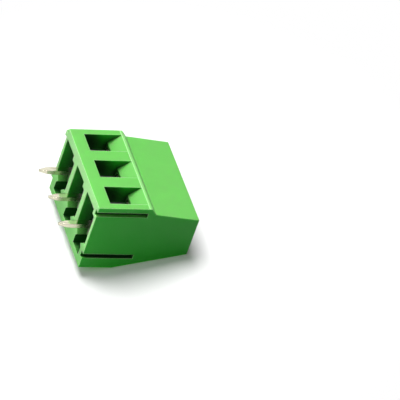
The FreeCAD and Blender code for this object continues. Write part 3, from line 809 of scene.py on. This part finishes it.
def table_plane():
    """Point of the table under the housing, the table's upward direction, and its third one.

    The housing lies on its sloping back face, from the top of its upright back wall to the
    back edge of its screw face. The third direction runs up that face."""
    outline = frame["nodes"]["housing"].data.vertices
    back, top = HOUSING[1].y, HOUSING[1].z
    near = 0.01 * MM
    kink = max(vertex.co.z for vertex in outline if vertex.co.y > back - near)
    edge = max(vertex.co.y for vertex in outline if vertex.co.z > top - near)
    low, high = Vector((0, back, kink)), Vector((0, edge, top))
    along = (high - low).normalized()
    up = Vector((0, -along.z, along.y))
    return (low + high) / 2, up, along


def seen_ray(tree, path):
    """1 for the rays that see the room or mirror it, from Light Path's outputs."""
    seen = maths(tree, "MAXIMUM", path["Is Camera Ray"], path["Is Glossy Ray"])
    return maths(tree, "MAXIMUM", seen, path["Is Transmission Ray"])


def table_material(studio):
    """White table that keeps the shadow, is clear from below and lights what lies on it."""
    material, tree, point = new_material("white_table")
    path = tree.nodes.new("ShaderNodeLightPath").outputs
    seen = seen_ray(tree, path)
    middle = (HOUSING[0] + HOUSING[1]) / 2
    half = (HOUSING[1] - HOUSING[0]) / 2
    grey = mix_colours(tree, seen, (studio.table_grey,) * 3, (studio.table_white,) * 3)
    matt = add_node(tree, "ShaderNodeBsdfDiffuse", {"Color": grey})

    place = split(tree, point)
    across = maths(tree, "COMPARE", place["X"], middle.x, half.x)
    along = maths(tree, "COMPARE", place["Z"], middle.z, half.z)
    near = maths(tree, "LESS_THAN", path["Ray Length"], UNDER_REACH)
    under = product(tree, across, along, near, path["Is Diffuse Ray"])
    light = maths(
        tree, "MULTIPLY_ADD", under, studio.underneath, product(tree, seen, studio.table_glow))
    glow = add_node(tree, "ShaderNodeEmission", {"Color": WHITE, "Strength": light})
    top = add_node(tree, "ShaderNodeAddShader", [matt.outputs[0], glow.outputs[0]])

    offset = add_node(
        tree, "ShaderNodeVectorMath", [point, tuple(middle)], operation="DISTANCE")
    far = product(tree, seen, smooth_between(tree, offset.outputs["Value"], *TABLE_FADE))
    white_room = add_node(tree, "ShaderNodeEmission", {"Color": WHITE, "Strength": 1.0})
    top = add_node(tree, "ShaderNodeMixShader", [far, top.outputs[0], white_room.outputs[0]])
    clear = tree.nodes.new("ShaderNodeBsdfTransparent")
    behind = tree.nodes.new("ShaderNodeNewGeometry").outputs["Backfacing"]
    whole = add_node(tree, "ShaderNodeMixShader", [behind, top.outputs[0], clear.outputs[0]])
    add_node(tree, "ShaderNodeOutputMaterial", {"Surface": whole.outputs[0]})
    return material


def add_table(studio):
    """Flat round table under the housing."""
    point, up, along = table_plane()
    point = point - up * TABLE_GAP
    radius = studio.table_size / 2
    across = Vector((1, 0, 0))
    ring = []
    for step in range(TABLE_CORNERS):
        angle = 2 * math.pi * step / TABLE_CORNERS
        spoke = across * math.cos(angle) + along * math.sin(angle)
        ring.append(point + spoke * radius)
    mesh = bpy.data.meshes.new("table")
    mesh.from_pydata(ring, [], [range(TABLE_CORNERS)])
    if mesh.polygons[0].normal.dot(up) < 0:
        mesh.flip_normals()
    mesh.materials.append(table_material(studio))
    table = bpy.data.objects.new("table", mesh)
    table.visible_shadow = False
    bpy.context.scene.collection.objects.link(table)
    return table


def add_lamp(name, direction, distance, width, power):
    """Square soft lamp that shines at the middle of the housing."""
    lamp = bpy.data.lights.new(name, "AREA")
    lamp.size = width
    lamp.energy = power
    holder = bpy.data.objects.new(name, lamp)
    holder.visible_camera = False
    middle = (HOUSING[0] + HOUSING[1]) / 2
    direction = direction.normalized()
    place = Matrix.Translation(middle + direction * distance)
    holder.matrix_world = place @ direction.to_track_quat("Z", "Y").to_matrix().to_4x4()
    bpy.context.scene.collection.objects.link(holder)
    return holder


def add_world(studio, up):
    """White room: full white where it is seen or mirrored, and light mostly from overhead."""
    world = bpy.data.worlds.new("white_room")
    world.use_nodes = True
    tree = world.node_tree
    tree.nodes.clear()
    seen = seen_ray(tree, tree.nodes.new("ShaderNodeLightPath").outputs)
    direction = tree.nodes.new("ShaderNodeTexCoord").outputs["Generated"]
    height = add_node(
        tree, "ShaderNodeVectorMath", [direction, tuple(up)], operation="DOT_PRODUCT")
    above = smooth_between(tree, height.outputs["Value"], 0.0, 0.9)
    light = remap(tree, above, studio.horizon, studio.overhead)
    strength = blend(tree, "FLOAT", seen, light, 1.0)
    glow = add_node(tree, "ShaderNodeBackground", {"Color": WHITE, "Strength": strength})
    add_node(tree, "ShaderNodeOutputWorld", {"Surface": glow.outputs[0]})
    bpy.context.scene.world = world


class TERMINAL_OT_build_stage(bpy.types.Operator):
    """Sets up the table, the lamps, the white room and the camera"""
    bl_idname = "terminal.build_stage"
    bl_label = "Build stage"

    def execute(self, context):
        scene = context.scene
        studio = settings().terminal_studio
        toward, turn = camera_turn(studio)
        camera = bpy.data.cameras.new("camera")
        camera.lens = studio.lens
        camera.clip_start = studio.distance / 100
        camera.clip_end = studio.distance * 10
        holder = bpy.data.objects.new("camera", camera)
        place = Matrix.Translation(Vector(studio.aim) + toward * studio.distance)
        holder.matrix_world = place @ turn.to_matrix().to_4x4()
        scene.collection.objects.link(holder)
        scene.camera = holder
        table = add_table(studio)
        add_world(studio, table_plane()[1])
        key = turn @ Vector(studio.key_direction)
        add_lamp("key_lamp", key, studio.key_distance, studio.key_width, studio.key_strength)
        fill = turn @ Vector(studio.fill_direction)
        shared = studio.fill_on_table * studio.fill_strength
        alone = studio.fill_strength - shared
        add_lamp("side_lamp", fill, studio.fill_distance, studio.fill_width, shared)
        lamp = add_lamp("fill_lamp", fill, studio.fill_distance, studio.fill_width, alone)
        lit = bpy.data.collections.new("lit_by_fill_lamp")
        for piece in scene.objects:
            if piece.type == "MESH" and piece != table:
                lit.objects.link(piece)
        lamp.light_linking.receiver_collection = lit
        scene.view_settings.view_transform = "Standard"
        return {"FINISHED"}


class TERMINAL_PT_panel(bpy.types.Panel):
    """Lists the terminal's values and steps"""
    bl_label = "Screw terminal"
    bl_idname = "TERMINAL_PT_panel"
    bl_space_type = "VIEW_3D"
    bl_region_type = "UI"
    bl_category = "Terminal"

    def draw(self, context):
        for name, group in GROUPS.items():
            box = self.layout.box()
            box.label(text=group.__doc__)
            values = getattr(context.scene, name)
            for item in values.bl_rna.properties:
                if item.identifier in group.__annotations__:
                    box.prop(values, item.identifier)
        for step in STEPS:
            self.layout.operator(step.bl_idname)


GROUPS = {
    "terminal_plastic": PlasticFinish,
    "terminal_metal": MetalFinish,
    "terminal_screws": ScrewSizes,
    "terminal_studio": Studio,
}
STEPS = (
    TERMINAL_OT_finish_housing,
    TERMINAL_OT_build_contacts,
    TERMINAL_OT_finish_cages,
    TERMINAL_OT_build_screws,
    TERMINAL_OT_build_stage,
)
CLASSES = (*GROUPS.values(), *STEPS, TERMINAL_PT_panel)


def register():
    for item in CLASSES:
        bpy.utils.register_class(item)
    for name, group in GROUPS.items():
        setattr(bpy.types.Scene, name, PointerProperty(type=group))


def unregister():
    for name in GROUPS:
        delattr(bpy.types.Scene, name)
    for item in reversed(CLASSES):
        bpy.utils.unregister_class(item)


def main():
    register()
    bpy.ops.terminal.finish_housing()
    bpy.ops.terminal.build_contacts()
    bpy.ops.terminal.finish_cages()
    bpy.ops.terminal.build_screws()
    bpy.ops.terminal.build_stage()


if __name__ == "__main__":
    main()
